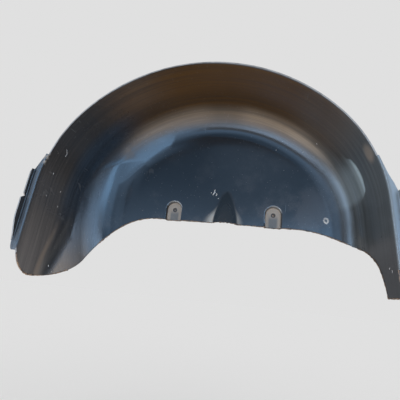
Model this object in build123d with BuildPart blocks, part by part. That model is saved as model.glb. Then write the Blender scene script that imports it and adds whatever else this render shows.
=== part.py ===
# Wheel arch liner: one vacuum-formed plastic shell.
# X runs along the car, +Y points inboard, away from the wheel, and +Z points up. The origin lies midway between
# the two screw holes, on the back faces of their tabs. Lengths are in millimetres and angles in degrees.

import os
from math import cos, radians, sin, tan

from build123d import *

# Sheet and forming tool
sheet = 2.5
depth = 200.0  # from the rim plane to the wheel side of the wall
draft = 1.5  # taper of the barrel towards the wall
corner_radius = 62.0  # between barrel and wall, wheel side
foot_allowance = 10.0  # formed below the left foot and trimmed off

# Arch outline on the wheel side, at the rim
crown_radius = 340.0
shoulder_angle = 45.0  # from the vertical, where crown and shoulder meet
shoulder_radius = 260.0
leg_flare = 5.0  # outward lean of the legs

# Flange and upstand beside the rim of each leg
flange_width = 13.0
upstand_height = 13.0
bend_radius = 4.0  # between barrel and flange, wheel side
fold_radius = 1.5  # between flange and upstand, wheel side

# Shallow bowl that brings the wall forward to the left foot
bowl_x = 60.0  # axis of the bowl from the arch axis
bowl_z = 70.0
bowl_flat_radius = 277.0
bowl_bend_radius = 106.0
bowl_slope = 52.0
bowl_skirt = 200.0  # radial length of the slope beyond the bend

# Screw tabs sunk into the wall
tab_spacing = 228.0
tab_height = 90.0  # of the screw holes above the arch axis
tab_offset = 22.0  # of the middle between the tabs from the arch axis
tab_width = 37.0  # at the wall
tab_depth = 10.0
tab_taper = 14.0
tab_mouth_radius = sheet  # wheel side, so the back is left sharp
tab_floor_radius = 3.0
tab_hole = 3.6  # pilot for a self-tapping screw
tab_seat = 8.5  # across the countersunk seat of the screw hole
tab_seat_angle = 100.0

# Stiffening tongue: a cylinder that leans out of the wall
tongue_x = 30.0  # from the arch axis
tongue_apex = 142.0  # above the arch axis
tongue_radius = 31.0
tongue_tilt = 12.8
tongue_length = 140.0
tongue_blend = 9.0

# Trimmed lower edge, seen from the wheel
edge_level = 65.0  # above the arch axis
edge_fall = 5.0  # over the level stretch, towards the right
edge_left = -130.0  # ends of the level stretch
edge_right = 180.0
edge_left_radius = 156.0
edge_left_sweep = 74.2
edge_right_radius = 240.0
edge_right_sweep = 29.0
foot_back_radius = 60.0  # rounding of the left foot towards the wall
foot_rim_radius = 60.0  # rounding of the left foot towards the rim

# Trimmed back edge of the right leg, seen from the side
right_foot_drop = 70.0  # below the arch axis
right_foot_width = 65.0
right_edge_radius = 90.0
right_edge_drop = 83.0  # of the centre of the curved stretch below the arch axis
right_edge_slope = 24.0
right_edge_run = 120.0  # of the sloping stretch

# Trimmed flanges
left_flange_angle = 19.0  # of the cut above the left flange
left_start_width = 4.0  # of the left flange below that cut
left_full = (-332.0, 95.0)  # from the arch axis, where it has its full width
left_upstand_height = 11.5  # below its notch
left_upper_height = 7.0  # above its notch
left_low_height = 1.0  # at its lower end
left_fall_height = 10.0  # above the arch axis, where it starts to fall away
left_notch_height = 54.0  # above the arch axis
left_notch_width = 9.0
left_notch_rest = 2.5  # of upstand left in the notch
right_flange_angle = 22.0  # of the cut above the right flange
right_start_width = 5.0  # of the right flange below that cut
right_full = (340.0, 62.0)  # from the arch axis, where it has its full width
right_flange_drop = 28.0  # below the arch axis

cut_reach = 80.0  # how far the trimming cuts run past the sheet
near = 0.1  # allowance when edges are picked by their place

# Places that follow from the sizes above
rim_y = -(depth + tab_depth + sheet)
rim_plane = Plane(origin=(-tab_offset, rim_y, -tab_height), x_dir=(1, 0, 0), z_dir=(0, -1, 0))
side_plane = Plane(origin=(-tab_offset, rim_y, -tab_height), x_dir=(0, 1, 0), z_dir=(1, 0, 0))
shoulder_x = (crown_radius - shoulder_radius) * sin(radians(shoulder_angle))
shoulder_z = (crown_radius - shoulder_radius) * cos(radians(shoulder_angle))
foot_sum = edge_left_radius + foot_back_radius
foot_drop = foot_sum * (1 - cos(radians(edge_left_sweep))) - edge_level
formed_drop = foot_drop + foot_allowance
tab_places = (tab_offset - tab_spacing / 2, tab_offset + tab_spacing / 2)
cut_side = crown_radius + cut_reach
cut_bottom = -formed_drop - cut_reach


def front_plane(distance):
    # Plane parallel to the rim plane, at a distance inboard of it
    return rim_plane.offset(-distance)


def arch_face(grow):
    # Flat arch with its outline moved outwards
    shoulder_sweep = 90 - shoulder_angle - leg_flare
    with BuildSketch() as arch:
        with BuildLine():
            CenterArc((0, 0), crown_radius + grow, 90 - shoulder_angle, shoulder_angle)
            shoulder = CenterArc((shoulder_x, shoulder_z), shoulder_radius + grow, leg_flare, shoulder_sweep)
            leg_run = formed_drop + (shoulder @ 0).Y
            leg = Line(shoulder @ 0, shoulder @ 0 + Vector(leg_run * tan(radians(leg_flare)), -leg_run))
            Line(leg @ 1, (0, -formed_drop))
            mirror(about=Plane.YZ)
        make_face()
    return arch.sketch


def tab_face(middle, grow):
    # Flat round-topped tab that runs past the lower edge of the wall
    half = tab_width / 2 + grow
    bottom = edge_level - tab_width
    with BuildSketch() as tab:
        with BuildLine():
            Line((middle - half, bottom), (middle - half, tab_height))
            CenterArc((middle, tab_height), half, 0, 180)
            Line((middle + half, tab_height), (middle + half, bottom))
            Line((middle + half, bottom), (middle - half, bottom))
        make_face()
    return tab.sketch


def formed_block(skin):
    # Space on the wheel side of the sheet, with every formed face moved through the sheet by the skin
    tab_grow = skin / cos(radians(tab_taper))
    tab_floor = tab_depth + skin

    with BuildPart() as rim:
        with BuildSketch(front_plane(skin)):
            add(arch_face(flange_width + skin))
        extrude(amount=upstand_height + skin)
        flange = rim.faces().sort_by(Axis.Y)[-1]
        fillet(flange.edges().sort_by(Axis.Z)[1:], fold_radius + skin)

    with BuildPart() as block:
        # Barrel and wall
        with BuildSketch(front_plane(depth + skin)):
            add(arch_face(skin / cos(radians(draft)) - (depth + skin) * tan(radians(draft))))
        extrude(amount=depth + skin + upstand_height, taper=-draft)
        wall = block.faces().sort_by(Axis.Y)[-1]
        fillet(wall.edges().sort_by(Axis.Z)[1:], corner_radius + skin)

        # Bowl
        bowl_origin = rim_plane.from_local_coords((bowl_x, bowl_z, 0))
        with BuildSketch(Plane(origin=bowl_origin, x_dir=(1, 0, 0), z_dir=(0, 0, 1))):
            with BuildLine():
                floor = Line((0, depth + skin), (bowl_flat_radius, depth + skin))
                bend_centre = (bowl_flat_radius, depth - bowl_bend_radius)
                bend = CenterArc(bend_centre, bowl_bend_radius + skin, 90, -bowl_slope)
                skirt = Line(bend @ 1, bend @ 1 + Vector(bowl_skirt, -bowl_skirt * tan(radians(bowl_slope))))
                base = Line(skirt @ 1, (0, (skirt @ 1).Y))
                Line(base @ 1, floor @ 0)
            make_face()
        revolve(axis=Axis(bowl_origin, (0, 1, 0)), mode=Mode.INTERSECT)

        # Flange and upstand
        add(rim.part)
        fillet(block.edges(Select.NEW), bend_radius - skin)

        # Tabs
        for middle in tab_places:
            with BuildSketch(front_plane(depth)):
                add(tab_face(middle, tab_grow))
            with BuildSketch(front_plane(depth + tab_floor)):
                add(tab_face(middle, tab_grow - tab_floor * tan(radians(tab_taper))))
            loft(ruled=True)

        # Tongue
        lean = radians(tongue_tilt)
        tongue_top = (tongue_x, tongue_apex - tongue_radius * sin(lean), -tongue_radius * cos(lean))
        tongue_plane = Plane(
            origin=front_plane(depth).from_local_coords(tongue_top),
            x_dir=(1, 0, 0),
            z_dir=(0, -sin(lean), -cos(lean)),
        )
        with BuildSketch(tongue_plane.offset(-tongue_radius)):
            Circle(tongue_radius - skin)
        extrude(amount=tongue_length, mode=Mode.SUBTRACT)

        # Lower edge and bottoms of the feet
        with BuildSketch(front_plane(-upstand_height)):
            with BuildLine():
                left_bend = CenterArc(
                    (edge_left, edge_level - edge_left_radius), edge_left_radius, 90, edge_left_sweep
                )
                foot = JernArc(left_bend @ 1, left_bend % 1, foot_back_radius, -edge_left_sweep)
                level = Line(left_bend @ 0, (edge_right, edge_level - edge_fall))
                right_bend = JernArc(level @ 1, (1, 0), edge_right_radius, -edge_right_sweep)
                right_side = Line(right_bend @ 1, ((right_bend @ 1).X, -right_foot_drop))
                Polyline(
                    right_side @ 1,
                    (cut_side, -right_foot_drop),
                    (cut_side, cut_bottom),
                    (-cut_side, cut_bottom),
                    (-cut_side, (foot @ 1).Y),
                    foot @ 1,
                )
            make_face()
        extrude(amount=-(depth + cut_reach), mode=Mode.SUBTRACT)

        # Rounded edges of the tabs and the tongue
        tab_floors = block.faces().filter_by(Plane.XZ).sort_by(Axis.Y)[-2:]
        fillet([edge for face in tab_floors for edge in face.edges().sort_by(Axis.Z)[1:]], tab_floor_radius + skin)
        wall_span = (rim_y + depth + skin - near, rim_y + depth + skin + near)
        if skin < tab_mouth_radius:
            mouth_edges = block.edges().filter_by(Edge.is_interior)
            fillet(mouth_edges.filter_by_position(Axis.Y, *wall_span), tab_mouth_radius - skin)
        tongue_edges = block.edges().filter_by(GeomType.ELLIPSE)
        fillet(tongue_edges.filter_by_position(Axis.Y, *wall_span), tongue_blend + skin)
    return block.part


with BuildPart() as arch_liner:
    add(formed_block(sheet))
    add(formed_block(0), mode=Mode.SUBTRACT)

    # Countersunk screw holes in the tab floors
    with Locations(front_plane(depth + tab_depth)):
        with Locations(*[(middle, tab_height) for middle in tab_places]):
            CounterSinkHole(tab_hole / 2, tab_seat / 2, sheet, tab_seat_angle)

    # Front edge of the left leg: notched upstand and rounded foot
    with BuildSketch(side_plane):
        with BuildLine():
            foot_front = CenterArc((foot_rim_radius, foot_rim_radius - foot_drop), foot_rim_radius, 180, 90)
            Polyline(
                foot_front @ 0,
                (-left_low_height, (foot_front @ 0).Y),
                (-left_upstand_height, left_fall_height),
                (-left_upstand_height, left_notch_height - left_notch_width / 2),
                (-left_notch_rest, left_notch_height),
                (-left_upper_height, left_notch_height + left_notch_width / 2),
                (-left_upper_height, cut_side),
                (-cut_reach, cut_side),
                (-cut_reach, cut_bottom),
                (foot_rim_radius, cut_bottom),
                foot_front @ 1,
            )
        make_face()
    extrude(amount=-cut_side, mode=Mode.SUBTRACT)

    # Back edge of the right leg
    with BuildSketch(side_plane):
        with BuildLine():
            curve_centre = (right_foot_width + right_edge_radius, -right_edge_drop)
            curve = CenterArc(curve_centre, right_edge_radius, 180, right_edge_slope - 90)
            slope = PolarLine(curve @ 1, right_edge_run, right_edge_slope)
            Polyline(slope @ 1, ((slope @ 1).X, cut_bottom), (right_foot_width, cut_bottom), curve @ 0)
        make_face()
    extrude(amount=cut_side, mode=Mode.SUBTRACT)

    # Flange cut away over the crown and below the right flange
    with BuildSketch(front_plane(bend_radius)):
        add(arch_face(cut_reach))
        with BuildLine():
            left_radius = shoulder_radius + left_start_width
            left_cut = PolarLine((-shoulder_x, shoulder_z), left_radius, 180 - left_flange_angle)
            Polyline(
                left_cut @ 1,
                left_full,
                (-cut_side, left_full[1]),
                (-cut_side, cut_bottom),
                (-shoulder_x, cut_bottom),
                left_cut @ 0,
            )
        make_face(mode=Mode.SUBTRACT)
        with BuildLine():
            right_radius = shoulder_radius + right_start_width
            right_cut = PolarLine((shoulder_x, shoulder_z), right_radius, right_flange_angle)
            Polyline(
                right_cut @ 1,
                right_full,
                (cut_side, right_full[1]),
                (cut_side, -right_flange_drop),
                (shoulder_x, -right_flange_drop),
                right_cut @ 0,
            )
        make_face(mode=Mode.SUBTRACT)
    extrude(amount=bend_radius + cut_reach, mode=Mode.SUBTRACT)

os.makedirs("parts", exist_ok=True)
arch_liner.part.label = "arch_liner"
export_step(arch_liner.part, "parts/arch_liner.step")
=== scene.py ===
import math

import bpy
import numpy as np
from mathutils import Matrix, Vector
from mathutils.bvhtree import BVHTree


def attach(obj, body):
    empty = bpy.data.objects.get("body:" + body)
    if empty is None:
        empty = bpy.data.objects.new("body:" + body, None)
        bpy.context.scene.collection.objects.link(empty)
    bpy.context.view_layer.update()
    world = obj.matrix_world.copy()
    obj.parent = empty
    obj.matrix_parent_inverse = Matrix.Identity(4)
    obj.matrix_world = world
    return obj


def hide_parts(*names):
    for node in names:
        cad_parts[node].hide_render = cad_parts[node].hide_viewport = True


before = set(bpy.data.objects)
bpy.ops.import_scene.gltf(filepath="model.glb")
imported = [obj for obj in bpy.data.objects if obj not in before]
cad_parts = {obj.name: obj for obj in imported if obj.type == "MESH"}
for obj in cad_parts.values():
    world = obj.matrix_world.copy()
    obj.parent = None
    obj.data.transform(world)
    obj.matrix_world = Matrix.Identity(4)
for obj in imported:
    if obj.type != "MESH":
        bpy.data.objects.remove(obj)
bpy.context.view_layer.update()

scene = bpy.context.scene
print("frame loaded:", ", ".join(sorted(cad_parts)))

# the camera stands low in front of the opening and is rolled a little, as in the photo
photoCamera = {
    "place": (0.1161, -0.79582, -0.17656),
    "azimuth": 12.27,
    "elevation": -14.11,
    "roll": 5.93,
    "lens": 31.95,
    "sensor": 36.0,
}


def addCamera(values):
    azimuth, elevation, roll = (math.radians(values[k]) for k in ("azimuth", "elevation", "roll"))
    back = Vector((
        math.sin(azimuth) * math.cos(elevation),
        -math.cos(azimuth) * math.cos(elevation),
        math.sin(elevation),
    ))
    level = (-back).cross(Vector((0, 0, 1))).normalized()
    upright = level.cross(-back)
    right = math.cos(roll) * level + math.sin(roll) * upright
    up = math.cos(roll) * upright - math.sin(roll) * level
    data = bpy.data.cameras.new("photo_camera")
    data.lens = values["lens"]
    data.sensor_width = values["sensor"]
    data.clip_start = 0.01
    camera = bpy.data.objects.new("photo_camera", data)
    turned = Matrix((right, up, back)).transposed()
    camera.matrix_world = Matrix.Translation(values["place"]) @ turned.to_4x4()
    scene.collection.objects.link(camera)
    scene.camera = camera


addCamera(photoCamera)
print("camera placed")


# node helpers: a socket given as an input is linked, anything else is set on the socket
def put(tree, kind, inputs=None, **settings):
    node = tree.nodes.new(kind)
    for name, value in settings.items():
        setattr(node, name, value)
    for name, value in (inputs or {}).items():
        if isinstance(value, bpy.types.NodeSocket):
            tree.links.new(value, node.inputs[name])
        else:
            node.inputs[name].default_value = value
    return node


def calc(tree, operation, *terms):
    return put(tree, "ShaderNodeMath", dict(enumerate(terms)), operation=operation).outputs[0]


def times(tree, *factors):
    product = factors[0]
    for factor in factors[1:]:
        product = calc(tree, "MULTIPLY", product, factor)
    return product


def hypot(tree, first, second):
    squares = calc(tree, "MULTIPLY_ADD", second, second, times(tree, first, first))
    return calc(tree, "SQRT", squares)


def noise(tree, place, scale, detail, rough=0.5):
    return put(tree, "ShaderNodeTexNoise", {
        "Vector": place, "Scale": scale, "Detail": detail, "Roughness": rough,
    }).outputs[0]


# a smooth step between two values, from 0 to 1 unless told otherwise
def spread(tree, value, low, high, toLow=0.0, toHigh=1.0):
    node = put(tree, "ShaderNodeMapRange", {
        "Value": value, "From Min": low, "From Max": high, "To Min": toLow, "To Max": toHigh,
    }, interpolation_type="SMOOTHSTEP")
    return node.outputs["Result"]


# a smooth step on how far a value lies from a middle one
def around(tree, value, middle, far, near, toFar=0.0, toNear=1.0):
    distance = calc(tree, "ABSOLUTE", calc(tree, "SUBTRACT", value, middle))
    return spread(tree, distance, far, near, toFar, toNear)


# stops of a place and a grey level, eased from one to the next
def ramp(tree, value, stops):
    node = put(tree, "ShaderNodeValToRGB", {"Fac": value})
    node.color_ramp.interpolation = "EASE"
    elements = node.color_ramp.elements
    while len(elements) < len(stops):
        elements.new(0.5)
    for element, (place, level) in zip(elements, stops):
        element.position = place
        element.color = (level, level, level, 1.0)
    return node.outputs["Color"]


def mixColours(tree, share, first, second, blend="MIX"):
    node = put(tree, "ShaderNodeMix", data_type="RGBA", clamp_factor=False, blend_type=blend)
    for place, value in ((0, share), (6, first), (7, second)):
        if isinstance(value, bpy.types.NodeSocket):
            tree.links.new(value, node.inputs[place])
        else:
            node.inputs[place].default_value = value if place == 0 else (*value, 1.0)
    return node.outputs[2]


def newGroup(name, inputs, outputs):
    group = bpy.data.node_groups.new(name, "ShaderNodeTree")
    for label, start in inputs:
        socket = group.interface.new_socket(label, in_out="INPUT", socket_type="NodeSocketFloat")
        socket.default_value = start
    for label, kind in outputs:
        group.interface.new_socket(label, in_out="OUTPUT", socket_type=kind)
    entry = group.nodes.new("NodeGroupInput")
    leave = group.nodes.new("NodeGroupOutput")
    return group, entry.outputs, leave.inputs


def useGroup(tree, group, inputs=None):
    return put(tree, "ShaderNodeGroup", inputs, node_tree=group).outputs


def newMaterial(name):
    material = bpy.data.materials.new(name)
    material.use_nodes = True
    material.node_tree.nodes.clear()
    return material, material.node_tree


def finishMaterial(tree, shader):
    put(tree, "ShaderNodeOutputMaterial", {"Surface": shader.outputs[0]})


def finishPlastic(tree, colour, rough, height, bump, bumpDepth):
    raised = put(tree, "ShaderNodeBump", {"Strength": bump, "Distance": bumpDepth, "Height": height}).outputs[0]
    shader = put(tree, "ShaderNodeBsdfPrincipled", {
        "Base Color": colour, "Roughness": rough, "IOR": 1.5, "Normal": raised,
    })
    finishMaterial(tree, shader)


# where a point lies on the arch: its turn round the axle from right to left, its depth from the rim,
# and how far it lies outside the barrel's outline at the rim
archPlaces = {
    "axle": (-0.022, -0.2125, -0.090), "depth": 0.2,
    "shoulderAt": 0.0566, "shoulder": 0.260, "flare": 5.0,
}


def makePlacesGroup(values):
    group, _, leave = newGroup("archPlaces", (), (
        ("Turn", "NodeSocketFloat"), ("Depth", "NodeSocketFloat"), ("Outside", "NodeSocketFloat"),
        ("Point", "NodeSocketVector"), ("Wrapped", "NodeSocketVector"),
    ))
    place = put(group, "ShaderNodeTexCoord").outputs["Object"]
    point = put(group, "ShaderNodeVectorMath", {0: place, 1: values["axle"]}, operation="SUBTRACT").outputs[0]
    across, inward, up = put(group, "ShaderNodeSeparateXYZ", {0: point}).outputs
    turn = calc(group, "SUBTRACT", 0.5, calc(group, "DIVIDE", calc(group, "ARCTAN2", across, up), math.pi))
    depth = calc(group, "DIVIDE", inward, values["depth"])
    side = calc(group, "SUBTRACT", calc(group, "ABSOLUTE", across), values["shoulderAt"])
    rise = calc(group, "SUBTRACT", up, values["shoulderAt"])
    flare = math.radians(values["flare"])
    leg = calc(group, "MULTIPLY_ADD", side, math.cos(flare), times(group, rise, math.sin(flare)))
    onShoulder = calc(group, "GREATER_THAN", calc(group, "ARCTAN2", rise, side), flare)
    bend = calc(group, "SUBTRACT", hypot(group, side, rise), leg)
    outline = calc(group, "MULTIPLY_ADD", onShoulder, bend, leg)
    wrapped = put(group, "ShaderNodeCombineXYZ", {0: turn, 1: depth, 2: hypot(group, across, up)}).outputs[0]
    outside = calc(group, "SUBTRACT", outline, values["shoulder"])
    for socket, way in zip((turn, depth, outside, point, wrapped), leave):
        group.links.new(socket, way)
    return group


# dust that has dried on: soft clouds of haze, and specks of grit too fine to model
driedDust = {
    "cloudRough": 0.62, "clouds": (0.40, 0.72),
    "grainScale": 420.0, "grainRough": 0.7, "grain": (0.25, 0.7, 0.55, 1.0),
    "speck": (0.45, 0.20),
}


def makeDustGroup(values):
    group, entry, leave = newGroup("driedDust", (
        ("Cloud Scale", 9.0), ("Speck Scale", 900.0), ("Speck Share", 0.02),
    ), (("Haze", "NodeSocketFloat"), ("Specks", "NodeSocketFloat")))
    place = put(group, "ShaderNodeTexCoord").outputs["Object"]
    cloud = noise(group, place, entry["Cloud Scale"], 6.0, values["cloudRough"])
    grain = noise(group, place, values["grainScale"], 2.0, values["grainRough"])
    haze = times(group, spread(group, cloud, *values["clouds"]), spread(group, grain, *values["grain"]))
    cells = put(group, "ShaderNodeTexVoronoi", {"Vector": place, "Scale": entry["Speck Scale"]})
    chance = put(group, "ShaderNodeSeparateColor", {0: cells.outputs["Color"]}).outputs[0]
    chosen = calc(group, "LESS_THAN", chance, entry["Speck Share"])
    dot = spread(group, cells.outputs["Distance"], *values["speck"])
    group.links.new(haze, leave["Haze"])
    group.links.new(times(group, chosen, dot), leave["Specks"])
    return group


# hairline scratches from handling, only here and there; each run has a turn, a stretch and a scale
handlingScuffs = {
    "runs": (((0.35, 0.5, 0.2), (1.0, 30.0, 1.0), 26.0), ((0.35, 2.2, 0.2), (22.0, 1.0, 1.4), 19.0)),
    "lines": (0.685, 0.72),
    "patchScale": 11.0, "patches": (-0.05, 0.12),
}


def makeScuffGroup(values):
    group, entry, leave = newGroup("handlingScuffs", (("Scale", 1.0), ("Cover", 0.5)), (
        ("Mask", "NodeSocketFloat"),
    ))
    place = put(group, "ShaderNodeTexCoord").outputs["Object"]
    lines = 0.0
    for turn, stretch, scale in values["runs"]:
        laid = put(group, "ShaderNodeMapping", {
            "Vector": place, "Rotation": turn, "Scale": stretch,
        }).outputs[0]
        scaled = put(group, "ShaderNodeVectorMath", {0: laid, "Scale": entry["Scale"]}, operation="SCALE").outputs[0]
        line = spread(group, noise(group, scaled, scale, 3.0), *values["lines"])
        lines = calc(group, "MAXIMUM", line, lines)
    patches = noise(group, place, values["patchScale"], 2.0)
    bare = calc(group, "SUBTRACT", 1.0, entry["Cover"])
    there = spread(group, calc(group, "SUBTRACT", patches, bare), *values["patches"])
    group.links.new(times(group, lines, there), leave["Mask"])
    return group


# the skin of the formed sheet: draw lines round the arch and a faint orange peel
formedSkin = {
    "wide": (2.2, 26.0, 3.0), "wideShare": 0.65, "wideRough": 0.66,
    "fine": (5.0, 150.0, 8.0), "fineShare": 0.35,
    "peelScale": 210.0,
}


def makeSkinGroup(values):
    group, entry, leave = newGroup("formedSkin", (("Draw Lines", 1.0), ("Peel", 1.0)), (
        ("Streaks", "NodeSocketFloat"), ("Height", "NodeSocketFloat"),
    ))
    places = useGroup(group, placesGroup)
    wide, fine = (
        put(group, "ShaderNodeMapping", {"Vector": places["Wrapped"], "Scale": values[name]}).outputs[0]
        for name in ("wide", "fine")
    )
    wide = times(group, noise(group, wide, 1.0, 5.0, values["wideRough"]), values["wideShare"])
    fine = times(group, noise(group, fine, 1.0, 2.0), values["fineShare"])
    streaks = calc(group, "ADD", wide, fine)
    peel = times(group, noise(group, places["Point"], values["peelScale"], 2.0), entry["Peel"])
    group.links.new(streaks, leave["Streaks"])
    group.links.new(calc(group, "MULTIPLY_ADD", streaks, entry["Draw Lines"], peel), leave["Height"])
    return group


placesGroup = makePlacesGroup(archPlaces)
dustGroup = makeDustGroup(driedDust)
scuffGroup = makeScuffGroup(handlingScuffs)
skinGroup = makeSkinGroup(formedSkin)


# what the marks on the wheel side are placed by
def readPlaces(tree):
    places = useGroup(tree, placesGroup)
    across, _, up = put(tree, "ShaderNodeSeparateXYZ", {0: places["Point"]}).outputs
    return {
        "turn": places["Turn"], "depth": places["Depth"], "outside": places["Outside"],
        "point": places["Point"], "across": across, "up": up,
    }


# a ramp's own range runs over these turns
turnSpan = {"start": -0.1, "length": 1.3}


def rampByTurn(tree, turn, stops):
    start, length = turnSpan["start"], turnSpan["length"]
    share = calc(tree, "DIVIDE", calc(tree, "SUBTRACT", turn, start), length)
    return ramp(tree, share, [((place - start) / length, value) for place, value in stops])


# films of road dirt and painted reflections, one colour each, its cover by turn and by depth: the blue on the left
# shoulder and the tan along the corner are painted reflections
dirtAndReflectionFilms = {
    "brownCrown": {
        "colour": (0.092, 0.043, 0.009),
        "turns": ((0.16, 0.0), (0.27, 0.58), (0.36, 0.90), (0.45, 1.0), (0.56, 0.95), (0.65, 0.66), (0.76, 0.0)),
        "depths": ((0.40, 1.0), (0.58, 0.78), (0.72, 0.85), (0.84, 0.15)),
    },
    "greyRightLeg": {
        "colour": (0.090, 0.103, 0.112),
        "turns": ((-0.03, 0.35), (0.05, 0.80), (0.13, 1.0), (0.20, 0.85), (0.28, 0.30), (0.35, 0.0)),
        "depths": ((0.35, 1.0), (0.58, 0.82), (0.85, 0.95)),
    },
    "greyLeftLeg": {
        "colour": (0.115, 0.108, 0.107),
        "turns": ((0.56, 0.0), (0.66, 0.28), (0.76, 0.30), (0.84, 0.36), (0.92, 0.60), (1.10, 1.0)),
        "depths": ((0.35, 1.0), (0.60, 0.35), (0.80, 0.15)),
    },
    # painted reflection: a blue tint on the left shoulder
    "blueShoulderReflection": {
        "colour": (0.018, 0.036, 0.062),
        "turns": ((0.64, 0.0), (0.75, 1.0), (0.90, 0.85), (1.02, 0.25)),
        "depths": ((0.38, 0.0), (0.56, 0.85), (0.72, 0.85), (0.86, 0.3)),
    },
    # painted reflection: a tan band along the corner, dimmer near the top middle
    "tanCornerReflection": {
        "colour": (0.160, 0.126, 0.094),
        "turns": (
            (0.22, 0.0), (0.34, 0.75), (0.42, 1.0), (0.47, 0.40),
            (0.50, 0.35), (0.55, 0.78), (0.66, 0.60), (0.76, 0.0),
        ),
        "depths": ((0.70, 0.0), (0.84, 1.0)),
    },
}
filmStreaks = {"end": (0.985, 0.90), "cover": (0.36, 0.64, 0.66, 1.32)}


# the films together, drawn out in streaks round the barrel
def filmLayer(tree, at, films, values):
    film = (0.0, 0.0, 0.0)
    for part in films.values():
        cover = times(tree, rampByTurn(tree, at["turn"], part["turns"]), ramp(tree, at["depth"], part["depths"]))
        film = mixColours(tree, cover, film, part["colour"], "ADD")
    streaks = spread(tree, at["streaks"], *values["cover"])
    return times(tree, spread(tree, at["depth"], *values["end"]), streaks), film


# a painted reflection on the right shoulder: a pale blue-grey patch standing in for the glint there, with its front
# edge and its cover by turn and depth
shoulderReflection = {
    "colour": (0.46, 0.58, 0.65),
    "edge": (
        (0.11, 0.80), (0.118, 0.60), (0.126, 0.515), (0.15, 0.48), (0.17, 0.485), (0.185, 0.51), (0.20, 0.60),
    ),
    "soft": (-0.015, 0.03),
    "depths": ((0.46, 0.75), (0.53, 1.0), (0.60, 0.50), (0.70, 0.30), (0.80, 0.24), (0.95, 0.18)),
    "wallEnd": (0.99, 0.90), "lowEnd": (0.108, 0.125), "topEnd": (0.215, 0.165),
}


def shoulderReflectionMask(tree, at, values):
    past = calc(tree, "SUBTRACT", at["depth"], rampByTurn(tree, at["turn"], values["edge"]))
    return times(
        tree, spread(tree, past, *values["soft"]), ramp(tree, at["depth"], values["depths"]),
        spread(tree, at["depth"], *values["wallEnd"]),
        spread(tree, at["turn"], *values["lowEnd"]), spread(tree, at["turn"], *values["topEnd"]),
    )


# a painted reflection near the rim above the right flange: a brown spot standing in for a brown patch mirrored there
brownReflectionSpot = {
    "colour": (0.29, 0.245, 0.205), "turn": 0.166, "depth": 0.125,
    "turnReach": 0.022, "depthReach": 0.12, "fade": (1.0, 0.3), "cover": (0.0, 0.8, 0.7, 0.95),
}


def spotLayer(tree, at, values):
    aside, inward = (
        calc(tree, "DIVIDE", calc(tree, "SUBTRACT", at[name], values[name]), values[name + "Reach"])
        for name in ("turn", "depth")
    )
    spot = spread(tree, hypot(tree, aside, inward), *values["fade"])
    return times(tree, spot, spread(tree, at["haze"], *values["cover"])), values["colour"]


# a painted highlight down the left foot, as a tan run, and beside it a painted shade line where the plain dark plastic
# is let through the films
footHighlightRuns = {
    "line": (0.90, 1.10, 0.58, 0.36),
    "tan": (0.185, 0.152, 0.126), "tanHalf": (0.055, 0.005), "tanFrom": (0.955, 1.05), "tanCover": 0.85,
    "shadeLineAt": 0.125, "cleanHalf": (0.085, 0.02), "shadeLineFrom": (0.93, 1.0), "shadeLineCover": 0.8,
}


def highlightRunLayers(tree, at, values, plastic):
    run = calc(tree, "SUBTRACT", at["depth"], spread(tree, at["turn"], *values["line"]))
    tan = around(tree, run, 0.0, *values["tanHalf"])
    tan = times(tree, tan, spread(tree, at["turn"], *values["tanFrom"]), values["tanCover"])
    clean = around(tree, run, values["shadeLineAt"], *values["cleanHalf"])
    clean = times(tree, clean, spread(tree, at["turn"], *values["shadeLineFrom"]), values["shadeLineCover"])
    return (tan, values["tan"]), (clean, plastic)


# haze on the wall, bluish to the right and brownish towards the lower edge
wallHaze = {
    "from": (0.94, 0.99),
    "blue": (0.062, 0.074, 0.090), "blueCover": (0.0, 0.75, 0.45, 1.0),
    "blueAcross": (-0.08, 0.10, 0.10, 0.55), "blueUp": (0.27, 0.17, 0.15, 1.0),
    "brown": (0.078, 0.072, 0.074), "brownCover": (0.12, 0.72, 0.0, 0.72), "brownUp": (0.215, 0.055, 0.10, 1.0),
}


def hazeLayers(tree, at, onWall, values):
    blue = times(
        tree, onWall, spread(tree, at["haze"], *values["blueCover"]),
        spread(tree, at["across"], *values["blueAcross"]), spread(tree, at["up"], *values["blueUp"]),
    )
    brown = times(
        tree, onWall, spread(tree, at["up"], *values["brownUp"]), spread(tree, at["haze"], *values["brownCover"]),
    )
    return (blue, values["blue"]), (brown, values["brown"])


# flanges: the right one painted pale grey-blue as a painted reflection; the left one dark, with two painted highlights
# as bright lines along its fold, and torn white bits at its top
flangeMarks = {
    "depth": (0.045, 0.010), "outside": (-0.0020, 0.0008), "cover": 0.92, "leftFrom": (0.45, 0.55),
    "right": (0.24, 0.29, 0.34), "left": (0.018, 0.019, 0.022),
    "fold": (0.085, 0.115, 0.155), "foldAt": 0.0052, "foldHalf": (0.0046, 0.0020),
    "foldGapAt": 0.0054, "foldGap": (0.0, 0.0010, 0.45, 1.0), "foldFade": (1.06, 0.94, 0.25, 1.0),
    "torn": (0.36, 0.34, 0.32), "tornAt": 0.868, "tornHalf": (0.016, 0.008),
    "tornScale": 190.0, "tornBits": (0.44, 0.56),
}


def flangeLayer(tree, at, values):
    # painted highlights: two bright lines along the left flange's fold
    fold = times(
        tree, around(tree, at["outside"], values["foldAt"], *values["foldHalf"]),
        around(tree, at["outside"], values["foldGapAt"], *values["foldGap"]),
        spread(tree, at["turn"], *values["foldFade"]),
    )
    colour = mixColours(tree, fold, values["left"], values["fold"])
    bits = spread(tree, noise(tree, at["point"], values["tornScale"], 3.0), *values["tornBits"])
    torn = times(tree, around(tree, at["turn"], values["tornAt"], *values["tornHalf"]), bits)
    colour = mixColours(tree, torn, colour, values["torn"])
    # painted reflection: the right flange's pale grey-blue
    colour = mixColours(tree, spread(tree, at["turn"], *values["leftFrom"]), values["right"], colour)
    onFlange = times(tree, spread(tree, at["depth"], *values["depth"]), spread(tree, at["outside"], *values["outside"]))
    return times(tree, onFlange, values["cover"]), colour
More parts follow.
